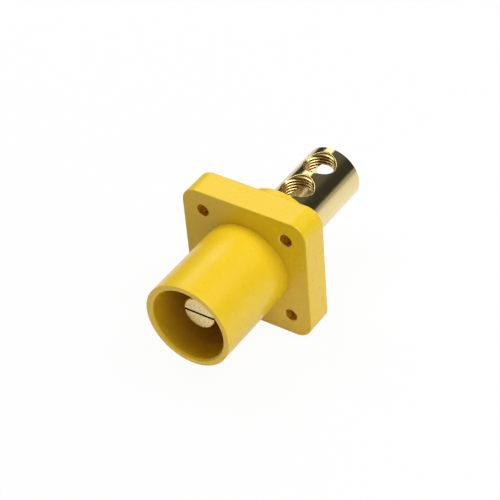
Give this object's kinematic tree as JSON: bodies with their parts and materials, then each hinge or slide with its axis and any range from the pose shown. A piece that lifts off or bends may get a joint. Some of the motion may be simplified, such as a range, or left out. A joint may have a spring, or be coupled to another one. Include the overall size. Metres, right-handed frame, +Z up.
{
  "type": "single-pole power receptacle",
  "caption": "Panel-mount single-pole power receptacle: square flange, round shroud around a split pin, and a cable barrel with set-screw holes behind.",
  "frame": {"origin": "middle of the fixing-hole pattern on the flange's rear face, the face that sits on the panel", "axes": "+Y along the connector's axis to the cable end, -Y to the mating end, +Z up through the set-screw holes"},
  "size_m": [0.0508, 0.0951, 0.0508],
  "materials": {
    "insulator": "satin moulded yellow",
    "contact": "bright plated",
    "ring": "spring steel, oil blackened"
  },
  "bodies": {
    "root": {"insulator": "insulator", "contact": "contact", "retaining_ring": "ring"}
  },
  "joints": []
}
